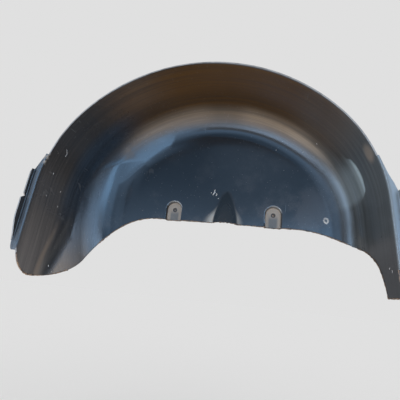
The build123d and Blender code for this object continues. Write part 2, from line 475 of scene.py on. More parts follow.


# the sunk tabs: dirt over their tops and sides, a cleaner middle, painted shade as a dark seat round the hole, and a
# painted highlight as a pale crescent on the upper rim
sunkTabs = {
    "middles": (-0.092, 0.136), "holeUp": 0.090, "depth": (1.030, 1.042),
    "dirt": (0.50, 0.43, 0.355), "dirtCover": (0.0, 0.8, 0.72, 0.98),
    "clean": (0.185, 0.185, 0.182), "cleanHalf": (0.0125, 0.007), "cleanUp": (0.092, 0.078),
    "seat": (0.012, 0.013, 0.015), "seatEdge": (0.0058, 0.0048), "seatCover": 0.9,
    "rimAt": 0.0189, "rimHalf": (0.0024, 0.0008), "rimUp": (0.002, 0.012),
    "rimAcross": (-0.014, 0.012, 0.45, 1.0), "rimCover": 0.95,
}


def tabLayers(tree, at, inTab, values, highlightColour):
    fromHole = calc(tree, "SUBTRACT", at["up"], values["holeUp"])
    above = calc(tree, "MAXIMUM", fromHole, 0.0)
    tabRimHighlight, clean, seat = 0.0, 0.0, 0.0
    for middle in values["middles"]:
        aside = calc(tree, "SUBTRACT", at["across"], middle)
        # painted highlight: a pale crescent on the upper rim, more to the right
        rim = times(
            tree, around(tree, hypot(tree, aside, above), values["rimAt"], *values["rimHalf"]),
            spread(tree, above, *values["rimUp"]), spread(tree, aside, *values["rimAcross"]),
        )
        wiped = times(
            tree, around(tree, aside, 0.0, *values["cleanHalf"]), spread(tree, at["up"], *values["cleanUp"]),
        )
        tabRimHighlight = calc(tree, "MAXIMUM", rim, tabRimHighlight)
        clean = calc(tree, "MAXIMUM", wiped, clean)
        # painted shade: the dark seat round the hole
        seat = calc(tree, "MAXIMUM", spread(tree, hypot(tree, aside, fromHole), *values["seatEdge"]), seat)
    dirt = times(tree, inTab, spread(tree, at["haze"], *values["dirtCover"]))
    return (
        (dirt, mixColours(tree, clean, values["dirt"], values["clean"])),
        (times(tree, seat, inTab, values["seatCover"]), values["seat"]),
        (times(tree, tabRimHighlight, values["rimCover"]), highlightColour),
    )


# the tongue's outline on the wall, in metres from the axle
tongueShape = {"middle": 0.030, "edge": 0.062, "height": 0.079, "half": 0.0285}

# the tongue painted darker as painted shade, and pale patches at its foot beside it, more to its left, partly dust and
# partly painted highlight
tongueMarks = {
    "colour": (0.010, 0.016, 0.021), "flank": (0.0015, -0.003), "top": (0.081, 0.075),
    "depth": (0.80, 0.88), "cover": 0.9,
    "dust": (0.54, 0.53, 0.49), "dustFlank": (-0.003, 0.001), "dustUp": (0.046, 0.010), "dustDepth": (0.90, 0.97),
    "dustLeft": (0.01, -0.01), "dustCover": (0.42, 0.85),
    "dustWidth": (0.046, 0.0, 0.002, 0.022), "dustWiden": (0.7, 1.15),
}


def tongueMasks(tree, at, shape, values):
    sideways = calc(tree, "SUBTRACT", at["across"], shape["middle"])
    rise = calc(tree, "SUBTRACT", at["up"], shape["edge"])
    half = calc(tree, "SQRT", spread(tree, rise, 0.0, shape["height"], 1.0, 0.0))
    flank = calc(tree, "SUBTRACT", calc(tree, "ABSOLUTE", sideways), times(tree, half, shape["half"]))
    onTongue = times(
        tree, spread(tree, flank, *values["flank"]), spread(tree, rise, *values["top"]),
        spread(tree, at["depth"], *values["depth"]),
    )
    toLeft = spread(tree, sideways, *values["dustLeft"])
    wide = times(tree, spread(tree, rise, *values["dustWidth"]), spread(tree, toLeft, 0.0, 1.0, *values["dustWiden"]))
    dustAndHighlight = times(
        tree, spread(tree, flank, *values["dustFlank"]), spread(tree, calc(tree, "DIVIDE", flank, wide), 1.0, 0.0),
        spread(tree, rise, *values["dustUp"]), spread(tree, at["depth"], *values["dustDepth"]),
        spread(tree, toLeft, 0.0, 1.0, *values["dustCover"]),
    )
    return onTongue, dustAndHighlight


# the wheel side: black plastic from a polished mould, with all that lies on it, and painted highlights, reflections and
# shade
wheelSide = {
    "plastic": (0.010, 0.013, 0.018), "paleScuff": (0.30, 0.31, 0.32),
    "skin": {"Draw Lines": 1.0, "Peel": 0.25},
    "dust": {"Cloud Scale": 8.0, "Speck Scale": 520.0, "Speck Share": 0.010},
    "scuffs": {"Scale": 1.0, "Cover": 0.48}, "scuffCover": (0.20, 0.09), "speckCover": 0.5,
    "rough": ((0.0, 0.27), (0.2, 0.29), (0.62, 0.29), (0.76, 0.25), (0.88, 0.25), (1.0, 0.28)),
    "polished": 0.15, "polishedDepth": (0.88, 0.95), "polishedTurn": (0.58, 0.66),
    "tabRough": 0.62, "dustRough": 0.62, "reflectionRough": 0.40, "tongueRough": 0.24,
    "hazeRough": 0.06, "scuffRough": 0.12,
    "bump": 0.10, "bumpDepth": 0.0012,
}


def makeWheelSide(values):
    material, tree = newMaterial("wheel_side")
    at = readPlaces(tree)
    skin = useGroup(tree, skinGroup, values["skin"])
    dust = useGroup(tree, dustGroup, values["dust"])
    scuffs = useGroup(tree, scuffGroup, values["scuffs"])["Mask"]
    at["haze"], at["streaks"] = dust["Haze"], skin["Streaks"]
    onWall = spread(tree, at["depth"], *wallHaze["from"])
    inTab = spread(tree, at["depth"], *sunkTabs["depth"])
    paintedReflection = shoulderReflectionMask(tree, at, shoulderReflection)
    onTongue, dustAndHighlight = tongueMasks(tree, at, tongueShape, tongueMarks)
    layers = (
        # dirt films, with painted reflections on the left shoulder and along the corner
        filmLayer(tree, at, dirtAndReflectionFilms, filmStreaks),
        # painted reflection: the pale patch on the right shoulder
        (paintedReflection, shoulderReflection["colour"]),
        # painted reflection: the brown spot near the rim above the right flange
        spotLayer(tree, at, brownReflectionSpot),
        # painted highlight and painted shade line on the left foot
        *highlightRunLayers(tree, at, footHighlightRuns, values["plastic"]),
        *hazeLayers(tree, at, onWall, wallHaze),
        flangeLayer(tree, at, flangeMarks),
        # tab dirt, with painted shade round the holes and a painted highlight on the rims
        *tabLayers(tree, at, inTab, sunkTabs, values["paleScuff"]),
        # painted shade: the tongue darker than the wall around it
        (times(tree, onTongue, tongueMarks["cover"]), tongueMarks["colour"]),
        # dust and painted highlight at the foot of the tongue
        (dustAndHighlight, tongueMarks["dust"]),
        (times(tree, scuffs, spread(tree, onWall, 0.0, 1.0, *values["scuffCover"])), values["paleScuff"]),
        (times(tree, dust["Specks"], values["speckCover"]), values["paleScuff"]),
    )
    colour = values["plastic"]
    for share, paint in layers:
        colour = mixColours(tree, share, colour, paint)

    # the wall and the left shoulder before it are polished; dirt, the painted reflection on the right shoulder and the
    # painted shade on the tongue are duller
    shoulder = times(
        tree, spread(tree, at["depth"], *values["polishedDepth"]), spread(tree, at["turn"], *values["polishedTurn"]),
    )
    polished = calc(tree, "MAXIMUM", onWall, shoulder)
    rough = mixColours(tree, polished, rampByTurn(tree, at["turn"], values["rough"]), (values["polished"],) * 3)
    for mask, name in ((inTab, "tabRough"), (dustAndHighlight, "dustRough"), (paintedReflection, "reflectionRough"), (onTongue, "tongueRough")):
        rough = calc(tree, "MAXIMUM", rough, times(tree, mask, values[name]))
    for mask, name in ((dust["Haze"], "hazeRough"), (scuffs, "scuffRough")):
        rough = calc(tree, "MULTIPLY_ADD", mask, values[name], rough)
    finishPlastic(tree, colour, rough, skin["Height"], values["bump"], values["bumpDepth"])
    return material


# the back: the side away from the polished mould, left as formed and dusty
backSide = {
    "plastic": (0.016, 0.017, 0.019), "dustColour": (0.085, 0.078, 0.068), "paleScuff": (0.17, 0.17, 0.17),
    "skin": {"Draw Lines": 0.4, "Peel": 1.0},
    "dust": {"Cloud Scale": 6.0, "Speck Scale": 420.0, "Speck Share": 0.015},
    "scuffs": {"Scale": 0.8, "Cover": 0.56},
    "dustCover": 0.45, "scuffCover": 0.5, "speckCover": 0.6,
    "rough": 0.36, "dustRough": 0.22, "scuffRough": -0.08,
    "bump": 0.22, "bumpDepth": 0.001,
}


def makeBackSide(values):
    material, tree = newMaterial("back_side")
    skin = useGroup(tree, skinGroup, values["skin"])
    dust = useGroup(tree, dustGroup, values["dust"])
    scuffs = useGroup(tree, scuffGroup, values["scuffs"])["Mask"]
    colour = values["plastic"]
    for mask, cover, paint in (
        (dust["Haze"], "dustCover", "dustColour"), (scuffs, "scuffCover", "paleScuff"),
        (dust["Specks"], "speckCover", "paleScuff"),
    ):
        colour = mixColours(tree, times(tree, mask, values[cover]), colour, values[paint])
    rough = calc(tree, "MULTIPLY_ADD", dust["Haze"], values["dustRough"], values["rough"])
    rough = calc(tree, "MULTIPLY_ADD", scuffs, values["scuffRough"], rough)
    finishPlastic(tree, colour, rough, skin["Height"], values["bump"], values["bumpDepth"])
    return material


# the trimmed edge: sawn, pale brown along the lower edge, and painted pale along the rim as a painted highlight
trimmedEdge = {
    "core": (0.20, 0.135, 0.092), "dark": (0.045, 0.036, 0.030), "rim": (0.40, 0.41, 0.43),
    "dust": {"Cloud Scale": 40.0, "Speck Scale": 900.0, "Speck Share": 0.05},
    "wornScale": 55.0, "worn": (0.35, 0.62), "rimDepth": (0.10, 0.02), "rimHighlightPatches": (0.30, 0.55, 0.45, 1.0),
    "sawScale": 1500.0, "saw": (0.4, 0.7, 0.0, 1.0), "sawCover": 0.35,
    "rough": (0.5, 0.75), "bump": 0.35, "bumpDepth": 0.0004,
}


def makeTrimmedEdge(values):
    material, tree = newMaterial("trimmed_edge")
    places = useGroup(tree, placesGroup)
    dust = useGroup(tree, dustGroup, values["dust"])
    marks = noise(tree, places["Point"], values["sawScale"], 1.0)
    worn = noise(tree, places["Point"], values["wornScale"], 4.0)
    # painted highlight: a pale line along the rim's cut edge, broken in patches
    rim = times(tree, spread(tree, places["Depth"], *values["rimDepth"]), spread(tree, worn, *values["rimHighlightPatches"]))
    sawn = times(tree, spread(tree, marks, *values["saw"]), values["sawCover"])
    colour = mixColours(tree, spread(tree, worn, *values["worn"]), values["dark"], values["core"])
    colour = mixColours(tree, rim, colour, values["rim"])
    colour = mixColours(tree, sawn, colour, values["dark"])
    rough = spread(tree, dust["Haze"], 0.0, 1.0, *values["rough"])
    finishPlastic(tree, colour, rough, marks, values["bump"], values["bumpDepth"])
    return material


sheetMaterials = (makeWheelSide(wheelSide), makeBackSide(backSide), makeTrimmedEdge(trimmedEdge))
print("materials made:", ", ".join(m.name for m in sheetMaterials))

# the formed sheet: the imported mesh, merged and refined into small curved triangles
formedSheet = {"node": "arch_liner", "longestEdge": 0.010, "thickest": 0.0048, "fold": 40.0}


def readNode(node):
    mesh = node.data
    mesh.calc_loop_triangles()
    points = np.zeros(len(mesh.vertices) * 3)
    mesh.vertices.foreach_get("co", points)
    vertices = np.zeros(len(mesh.loop_triangles) * 3, int)
    mesh.loop_triangles.foreach_get("vertices", vertices)
    loops = np.zeros(len(mesh.loop_triangles) * 3, int)
    mesh.loop_triangles.foreach_get("loops", loops)
    normals = np.zeros(len(mesh.loops) * 3)
    mesh.corner_normals.foreach_get("vector", normals)
    grid, merged = np.unique(np.round(points.reshape(-1, 3) * 1e6).astype(int), axis=0, return_inverse=True)
    corners = merged.reshape(-1)[vertices].reshape(-1, 3)
    return grid * 1e-6, corners, normals.reshape(-1, 3)[loops].reshape(-1, 3, 3)


def unit(vectors):
    return vectors / np.linalg.norm(vectors, axis=-1, keepdims=True)


# edges shared by the triangles: a key per corner, and the edge list
def sharedEdges(corners, count):
    following = np.roll(corners, -1, axis=1)
    keys = np.minimum(corners, following) * count + np.maximum(corners, following)
    edges, use = np.unique(keys.ravel(), return_inverse=True)
    return np.stack((edges // count, edges % count), axis=1), use.reshape(-1, 3)


# one zone for each triangle: 0 wheel side, 1 back, 2 cut edge, told by how far the sheet reaches behind it
def sortZones(points, corners, values):
    tree = BVHTree.FromPolygons(points.tolist(), corners.tolist())
    first, second, third = (points[corners[:, k]] for k in range(3))
    cross = np.cross(second - first, third - first)
    area = np.linalg.norm(cross, axis=1)
    flat = unit(cross)
    isCut = np.zeros(len(corners), bool)
    for k, (middle, normal) in enumerate(zip(points[corners].mean(1), flat)):
        inside = Vector(middle - normal * 1e-5)
        isCut[k] = tree.ray_cast(inside, Vector(-normal), values["thickest"])[0] is None
    edges, use = sharedEdges(corners, len(points))
    sharp = math.cos(math.radians(values["fold"]))
    owners = [[] for _ in edges]
    for k, row in enumerate(use):
        for edge in row:
            owners[edge].append(k)
    neighbours = [[] for _ in corners]
    for pair in owners:
        if len(pair) == 2 and isCut[pair[0]] == isCut[pair[1]] and flat[pair[0]] @ flat[pair[1]] > sharp:
            neighbours[pair[0]].append(pair[1])
            neighbours[pair[1]].append(pair[0])
    zone = np.where(isCut, 2, -1)
    for k in range(len(corners)):
        if zone[k] >= 0:
            continue
        group, waiting, seen = [], [k], {k}
        while waiting:
            one = waiting.pop()
            group.append(one)
            for other in neighbours[one]:
                if other not in seen:
                    seen.add(other)
                    waiting.append(other)
        facing = (flat[group, 1] * area[group]).sum()
        zone[group] = 0 if facing < 0 else 1
    return zone


def fromAxle(points):
    return points - np.array(archPlaces["axle"])


def turnOf(places):
    return 0.5 - np.arctan2(places[:, 0], places[:, 2]) / math.pi


# a smooth step from 0 to 1, and a smooth hump from -1 to 1
def ease(value):
    share = np.clip(value, 0, 1)
    return share * share * (3 - 2 * share)


def hump(value):
    return np.cos(np.clip(value, -1, 1) * math.pi / 2) ** 2


# the crease where the bowl meets the barrel, rounded as forming leaves it, in metres from the axle; the wall
# also lifts a little before its corner at the upper left and at the right: each swell's height, turn and reach
creaseRound = {
    "radius": 0.060, "finest": 0.004, "margin": 1.2, "leftOf": -0.12, "rimKept": 0.008, "thinnest": 1e-4, "rounds": 4,
    "depth": 0.200, "draft": 1.5, "corner": 0.062,
    "crown": 0.340, "shoulder": 0.260, "flare": 5.0,
    "bowlAxis": (0.060, 0.070), "bowlFlat": 0.277, "bowlBend": 0.106, "bowlSlope": 52.0,
    "swells": ((0.0042, 0.69, 0.17), (0.0020, 0.14, 0.16)),
    "swellAt": 0.018, "swellReach": 0.042, "swellFrom": 0.10, "swellLeast": 1e-6,
}


# distance outwards from the barrel's side
def barrelSide(places, values):
    across, inward, up = np.abs(places[:, 0]), places[:, 1], places[:, 2]
    offset = (values["crown"] - values["shoulder"]) * math.sqrt(0.5)
    flare = math.radians(values["flare"])
    side, rise = across - offset, up - offset
    leg = side * math.cos(flare) + rise * math.sin(flare)
    outline = np.where(np.arctan2(rise, side) < flare, leg, np.hypot(side, rise)) - values["shoulder"]
    outline = np.where(across < up, np.hypot(across, up) - values["crown"], outline)
    draft = math.radians(values["draft"])
    return (outline + inward * math.tan(draft)) * math.cos(draft)


# distance outwards from the barrel and its rounded corner with the wall
def barrelLevel(places, values):
    barrel, wall = barrelSide(places, values), places[:, 1] - values["depth"]
    lean, radius = math.sin(math.radians(values["draft"])), values["corner"]
    u, w = barrel + radius, wall + radius
    rounded = np.sqrt(np.maximum(u * u + w * w - 2 * lean * u * w, 0) / (1 - lean * lean)) - radius
    return np.where((u > lean * w) & (w > lean * u), rounded, np.maximum(barrel, wall))


# how far a point lies outside the bowl's flat, which is round about the bowl's own axis
def outOfFlat(places, values):
    axis = values["bowlAxis"]
    return np.hypot(places[:, 0] - axis[0], places[:, 2] - axis[1]) - values["bowlFlat"]


# distance outwards from the bowl
def bowlLevel(places, values):
    out = outOfFlat(places, values)
    deep = places[:, 1] - values["depth"] + values["bowlBend"]
    slope = math.radians(values["bowlSlope"])
    skirt = out * math.sin(slope) + deep * math.cos(slope)
    bend = np.where(np.arctan2(out, deep) > slope, skirt, np.hypot(out, deep))
    return np.where(out < 0, deep, bend) - values["bowlBend"]


def slopeOf(level, places, values, step=2e-5):
    return np.stack([
        (level(places + way, values) - level(places - way, values)) / (2 * step) for way in np.eye(3) * step
    ], axis=1)


# both levels, and how wide a band between them a round of the given radius takes
def creaseBand(places, values):
    slopes = slopeOf(barrelLevel, places, values) * slopeOf(bowlLevel, places, values)
    band = values["radius"] * (1 - slopes.sum(1))
    return barrelLevel(places, values), bowlLevel(places, values), np.maximum(band, 1e-7)


def cornerSwell(places, values):
    flat = places * (1.0, 0.0, 1.0) + (0.0, values["depth"], 0.0)
    past = np.maximum(barrelSide(flat, values) + values["corner"], outOfFlat(places, values))
    turn = turnOf(places)
    rise = sum(height * hump((turn - middle) / reach) for height, middle, reach in values["swells"])
    return rise * hump((past - values["swellAt"]) / values["swellReach"])


def roundedLevel(places, values):
    barrel, bowl, band = creaseBand(places, values)
    level = np.maximum(barrel, bowl) + np.maximum(band - np.abs(barrel - bowl), 0) ** 2 / (4 * band)
    return level + cornerSwell(places, values)


def nearCrease(places, values, margin):
    barrel, bowl, band = creaseBand(places, values)
    inReach = (places[:, 0] < values["leftOf"]) & (places[:, 1] > values["rimKept"])
    return inReach & (band > values["thinnest"]) & (np.abs(barrel - bowl) < band * margin)


# moves the sheet near the crease onto the round, each point keeping its place in the thickness
def roundCrease(points, corners, normals, zone, values):
    places = fromAxle(points)
    swollen = (places[:, 1] > values["swellFrom"]) & (cornerSwell(places, values) > values["swellLeast"])
    moved = nearCrease(places, values, 1.0) | swollen
    found = places[moved]
    target = np.maximum(barrelLevel(found, values), bowlLevel(found, values))
    for _ in range(values["rounds"]):
        slope = slopeOf(roundedLevel, found, values)
        short = target - roundedLevel(found, values)
        found = found + slope * (short / (slope * slope).sum(1))[:, None]
    points = points.copy()
    points[moved] += found - places[moved]
    outward = np.zeros_like(points)
    outward[moved] = unit(slopeOf(roundedLevel, found, values))
    facing = np.where(zone == 0, -1.0, 1.0)[:, None, None] * outward[corners]
    takes = (moved[corners] & (zone < 2)[:, None])[:, :, None]
    return points, np.where(takes, facing, normals)


# the right flange grows out of the rim from its top turn downwards; metres kept for the rim itself
flangeTaper = {"top": 0.154, "reach": 0.050, "curve": 1.5, "above": 0.02, "rim": 0.0026, "deepest": 0.012}


def taperFlange(points, values):
    places = fromAxle(points)
    outside = barrelSide(places * (1.0, 0.0, 1.0), creaseRound)
    turn = turnOf(places)
    short = 1 - np.clip((values["top"] - turn) / values["reach"], 0, 1) ** values["curve"]
    onFlange = (places[:, 0] > 0) & (places[:, 1] < values["deepest"]) & (turn < values["top"] + values["above"])
    shift = np.where(onFlange, np.maximum(outside - values["rim"], 0) * short, 0)
    outwards = slopeOf(barrelSide, places, creaseRound) * (1.0, 0.0, 1.0)
    return points - outwards * shift[:, None]


# the tongue's outline runs to a soft point: its flanks fade into the wall and its face leans up
tongueFace = {
    "soft": 0.005, "lean": 0.24,
    "aside": 0.014, "over": 0.016, "under": 0.03, "fade": 0.006, "deeperThan": 0.15,
}


def softenTongue(points, corners, normals, zone, shape, values):
    places = fromAxle(points)
    aside, rise = np.abs(places[:, 0] - shape["middle"]), places[:, 2] - shape["edge"]
    half = shape["half"] * np.sqrt(np.clip(1 - rise / shape["height"], 0, 1))
    left = shape["height"] - rise
    inside = ease((half - aside) / values["soft"] / 2 + 0.5) * ease(left / values["soft"])
    reach = ease((half + values["aside"] - aside) / values["fade"]) * ease((left + values["over"]) / values["fade"])
    reach = reach * (places[:, 1] > values["deeperThan"]) * (rise > -values["under"])
    leaning = np.stack((0 * rise, -np.ones_like(rise), values["lean"] * inside), axis=1)
    share = (reach[corners] * (zone == 0)[:, None])[:, :, None]
    return unit(normals * (1 - share) + unit(leaning)[corners] * share)


# by turn, the left shoulder's shading leans at least this much towards the bowl's axis from a line on;
# the line is measured outwards from the bowl's flat, in metres
shoulderLean = {
    "turns": (0.52, 0.58, 0.64, 0.72, 0.80, 0.88),
    "starts": (0.010, -0.008, -0.033, -0.020, -0.006, 0.0),
    "softs": (0.012, 0.012, 0.014, 0.018, 0.034, 0.060),
    "shares": (0.0, 0.60, 1.0, 1.0, 0.95, 0.3),
    "lean": 0.43, "deeperThan": 0.15, "above": 0.02, "leastFacing": 0.2,
}


def leanShoulder(points, corners, normals, zone, values):
    places = fromAxle(points)
    toAxis = np.array(creaseRound["bowlAxis"]) - places[:, [0, 2]]
    away = np.linalg.norm(toAxis, axis=1)
    turn = turnOf(places)
    start, soft, most = (np.interp(turn, values["turns"], values[name]) for name in ("starts", "softs", "shares"))
    inReach = (places[:, 1] > values["deeperThan"]) & (places[:, 2] > values["above"])
    share = ease((away - creaseRound["bowlFlat"] - start) / soft) * most * inReach
    towards = np.insert(toAxis / np.maximum(away, 1e-6)[:, None], 1, 0.0, axis=1)[corners]
    facing = np.maximum(-normals[:, :, 1], values["leastFacing"])
    lacking = values["lean"] * share[corners] - (normals * towards).sum(-1) / facing
    lacking = np.maximum(lacking, 0) * facing * (zone == 0)[:, None]
    return unit(normals + towards * lacking[:, :, None])


# halves every edge longer than the limit at the middle of the curve that its end normals give
def refine(points, corners, normals, zone, longest):
    patterns = {
        1: ((0, 3, 2), (3, 1, 2)),
        2: ((3, 1, 4), (0, 3, 4), (0, 4, 2)),
        3: ((0, 3, 5), (3, 1, 4), (5, 4, 2), (3, 4, 5)),
    }
    while True:
        edges, use = sharedEdges(corners, len(points))
        onCrease = nearCrease(fromAxle(points[edges].mean(1)), creaseRound, creaseRound["margin"])
        limit = np.where(onCrease, creaseRound["finest"], longest)
        isLong = np.linalg.norm(points[edges[:, 0]] - points[edges[:, 1]], axis=1) > limit
        if not isLong.any():
            return points, corners, normals, zone
        following = np.roll(corners, -1, axis=1)
        nextNormals = np.roll(normals, -1, axis=1)
        run = points[following] - points[corners]
        near = (run * normals).sum(-1, keepdims=True) * normals
        far = (run * nextNormals).sum(-1, keepdims=True) * nextNormals
        middles = (points[corners] + points[following]) / 2 + (far - near) / 8
        both = normals + nextNormals
        lean = 2 * (run * both).sum(-1, keepdims=True) / (run * run).sum(-1, keepdims=True)
        midNormals = unit(both / 4 + unit(both - lean * run) / 2)
        sums = np.zeros((len(edges), 3))
        np.add.at(sums, use.ravel(), middles.reshape(-1, 3))
        counts = np.bincount(use.ravel(), minlength=len(edges))
        newId = np.full(len(edges), -1)
        newId[isLong] = len(points) + np.arange(isLong.sum())
        points = np.concatenate((points, (sums / counts[:, None])[isLong]))
        split = isLong[use]
        number = split.sum(1)
        keep = number == 0
        parts = [(corners[keep], normals[keep], zone[keep])]
        for count, children in patterns.items():
            rows = np.nonzero(number == count)[0]
            if not len(rows):
                continue
            start = split[rows].argmax(1) if count == 1 else (split[rows].argmin(1) + 1) % 3
            order = (start[:, None] + np.arange(3)) % 3
            pick = rows[:, None]
            ids = np.concatenate((corners[pick, order], newId[use][pick, order]), axis=1)
            directions = np.concatenate((normals[pick, order], midNormals[pick, order]), axis=1)
            for child in children:
                parts.append((ids[:, child], directions[:, child], zone[rows]))
        corners, normals, zone = (np.concatenate(column) for column in zip(*parts))


def addObject(name, data):
    thing = bpy.data.objects.new(name, data)
    scene.collection.objects.link(thing)
    return thing


def makeMesh(name, points, corners, normals, zone, materials):
    mesh = bpy.data.meshes.new(name)
    mesh.from_pydata(points.tolist(), [], corners.tolist())
    for material in materials:
        mesh.materials.append(material)
    mesh.polygons.foreach_set("material_index", zone.astype(np.int32))
    mesh.polygons.foreach_set("use_smooth", np.ones(len(corners), bool))
    mesh.normals_split_custom_set(normals.reshape(-1, 3).tolist())
    mesh.update()
    return addObject(name, mesh)


def makeSheet(values):
    points, corners, normals = readNode(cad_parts[values["node"]])
    zone = sortZones(points, corners, values)
    points, corners, normals, zone = refine(points, corners, normals, zone, values["longestEdge"])
    points, normals = roundCrease(points, corners, normals, zone, creaseRound)
    points = taperFlange(points, flangeTaper)
    normals = leanShoulder(points, corners, normals, zone, shoulderLean)
    normals = softenTongue(points, corners, normals, zone, tongueShape, tongueFace)
    return makeMesh("formed_sheet", points, corners, normals, zone, sheetMaterials), points, corners, zone


sheet, sheetPoints, sheetCorners, sheetZone = makeSheet(formedSheet)
print("formed sheet:", len(sheetCorners), "triangles, by zone", np.bincount(sheetZone, minlength=3).tolist())

# small marks: grit, torn plastic and scratches, each a little uneven in colour
smallMarks = {
    "pale_grit": {"pale": (0.34, 0.33, 0.31), "dark": (0.16, 0.15, 0.14), "rough": (0.65, 0.85)},
    "torn_edge": {"pale": (0.26, 0.175, 0.115), "dark": (0.06, 0.045, 0.036), "rough": (0.55, 0.75)},
    "white_scratch": {"pale": (0.78, 0.79, 0.80), "dark": (0.46, 0.46, 0.47), "rough": (0.45, 0.65)},
}
markGrain = {
    "patchScale": 140.0, "patches": (0.36, 0.62),
    "grainScale": 1900.0, "grain": (0.3, 0.7), "bump": 0.4, "bumpDepth": 0.0003,
}


def makeMarkMaterial(name, values, texture):
    material, tree = newMaterial(name)
    place = put(tree, "ShaderNodeTexCoord").outputs["Object"]
    patches = spread(tree, noise(tree, place, texture["patchScale"], 3.0), *texture["patches"])
    grain = noise(tree, place, texture["grainScale"], 1.0)
    colour = mixColours(tree, patches, values["dark"], values["pale"])
    rough = spread(tree, grain, *texture["grain"], *values["rough"])
    finishPlastic(tree, colour, rough, grain, texture["bump"], texture["bumpDepth"])
    return material


markMaterials = {name: makeMarkMaterial(name, values, markGrain) for name, values in smallMarks.items()}


# geometry nodes helpers: a tree with named inputs, its last nodes, and its result turned into a plain mesh
def newTree(name, floats, wholes=()):
    tree = bpy.data.node_groups.new(name, "GeometryNodeTree")
    tree.interface.new_socket("Geometry", in_out="INPUT", socket_type="NodeSocketGeometry")
    for labels, kind in ((floats, "NodeSocketFloat"), (wholes, "NodeSocketInt")):
        for label in labels:
            tree.interface.new_socket(label, in_out="INPUT", socket_type=kind)
    tree.interface.new_socket("Geometry", in_out="OUTPUT", socket_type="NodeSocketGeometry")
    return tree, tree.nodes.new("NodeGroupInput").outputs


def finishTree(tree, shape, material):
    whole = put(tree, "GeometryNodeRealizeInstances", {"Geometry": shape}).outputs[0]
    painted = put(tree, "GeometryNodeSetMaterial", {"Geometry": whole, "Material": material}).outputs[0]
    put(tree, "NodeGroupOutput", {"Geometry": painted})
    return tree


def grow(name, tree, source, values):
    carrier = bpy.data.objects.new(name + "_source", source)
    scene.collection.objects.link(carrier)
    modifier = carrier.modifiers.new(name, "NODES")
    modifier.node_group = tree
    for item in tree.interface.items_tree:
        if item.in_out == "INPUT" and item.name in values:
            modifier[item.identifier] = values[item.name]
    carrier.update_tag()
    evaluated = carrier.evaluated_get(bpy.context.evaluated_depsgraph_get())
    mesh = bpy.data.meshes.new_from_object(evaluated)
    bpy.data.objects.remove(carrier)  # the modifier goes with it
    mesh.name = name
    return addObject(name, mesh)


# torn plastic along the lower cut edge, as the saw left it: the edge inwards of the rim and below a level
edgeBurr = {
    "Step": 0.0022, "Radius": 0.00125, "Uneven": 3.0, "Thinnest": 0.2, "Ripple": 120.0,
    "inwardOf": 0.004, "below": 0.13,
}


# the wheel side's edge with the cut faces, without the rim
def lowerEdge(values):
    edges, use = sharedEdges(sheetCorners, len(sheetPoints))
    onFace, onCut = np.zeros(len(edges), bool), np.zeros(len(edges), bool)
    onFace[use[sheetZone == 0].ravel()] = True
    onCut[use[sheetZone == 2].ravel()] = True
    middles = fromAxle(sheetPoints[edges].mean(1))
    kept = edges[onFace & onCut & (middles[:, 1] > values["inwardOf"]) & (middles[:, 2] < values["below"])]
    numbers, renamed = np.unique(kept, return_inverse=True)
    mesh = bpy.data.meshes.new("lower_edge")
    mesh.from_pydata(sheetPoints[numbers].tolist(), renamed.reshape(-1, 2).tolist(), [])
    return mesh


def makeBurrTree(material):
    tree, entry = newTree("tornEdge", ("Step", "Radius", "Uneven", "Thinnest", "Ripple"))
    path = put(tree, "GeometryNodeMeshToCurve", {"Mesh": entry["Geometry"]}).outputs[0]
    path = put(tree, "GeometryNodeResampleCurve", {"Curve": path, "Length": entry["Step"]}, mode="LENGTH").outputs[0]
    ripple = put(tree, "ShaderNodeTexNoise", {"Scale": entry["Ripple"], "Detail": 3.0}).outputs[0]
    swing = calc(tree, "SUBTRACT", ripple, 0.5)
    size = calc(tree, "MULTIPLY_ADD", swing, entry["Uneven"], 1.0)
    size = calc(tree, "MAXIMUM", size, entry["Thinnest"])
    profile = put(tree, "GeometryNodeCurvePrimitiveCircle", {"Resolution": 6, "Radius": entry["Radius"]}).outputs[0]
    burr = put(tree, "GeometryNodeCurveToMesh", {
        "Curve": path, "Profile Curve": profile, "Scale": size, "Fill Caps": True,
    }).outputs[0]
    return finishTree(tree, burr, material)


# grit that has stuck to the wheel side, in flat uneven grains
stuckGrit = {
    "Density": 520.0, "Smallest": 0.00030, "Largest": 0.00085, "Rarity": 3.0,
    "Width": 0.75, "Height": 0.4, "Seed": 7,
}


def wheelFaces():
    faces = sheetCorners[sheetZone == 0]
    numbers, renamed = np.unique(faces, return_inverse=True)
    mesh = bpy.data.meshes.new("wheel_faces")
    mesh.from_pydata(sheetPoints[numbers].tolist(), [], renamed.reshape(-1, 3).tolist())
    return mesh


def makeGritTree(material):
    tree, entry = newTree("stuckGrit", (
        "Density", "Smallest", "Largest", "Rarity", "Width", "Height",
    ), ("Seed",))
    strewn = put(tree, "GeometryNodeDistributePointsOnFaces", {
        "Mesh": entry["Geometry"], "Density": entry["Density"], "Seed": entry["Seed"],
    }).outputs
    chance = put(tree, "FunctionNodeRandomValue", {"Seed": entry["Seed"]}, data_type="FLOAT").outputs[1]
    more = calc(tree, "SUBTRACT", entry["Largest"], entry["Smallest"])
    size = calc(tree, "MULTIPLY_ADD", calc(tree, "POWER", chance, entry["Rarity"]), more, entry["Smallest"])
    shape = put(tree, "ShaderNodeCombineXYZ", {
        "X": size, "Y": times(tree, size, entry["Width"]), "Z": times(tree, size, entry["Height"]),
    }).outputs[0]
    grain = put(tree, "GeometryNodeMeshIcoSphere", {"Radius": 1.0, "Subdivisions": 1}).outputs[0]
    grains = put(tree, "GeometryNodeInstanceOnPoints", {
        "Points": strewn["Points"], "Instance": grain, "Rotation": strewn["Rotation"], "Scale": shape,
    }).outputs[0]
    return finishTree(tree, grains, material)


burr = grow("edge_burr", makeBurrTree(markMaterials["torn_edge"]), lowerEdge(edgeBurr), edgeBurr)
grit = grow("stuck_grit", makeGritTree(markMaterials["pale_grit"]), wheelFaces(), stuckGrit)
print("edge burr:", len(burr.data.polygons), "faces; grit:", len(grit.data.polygons), "faces")

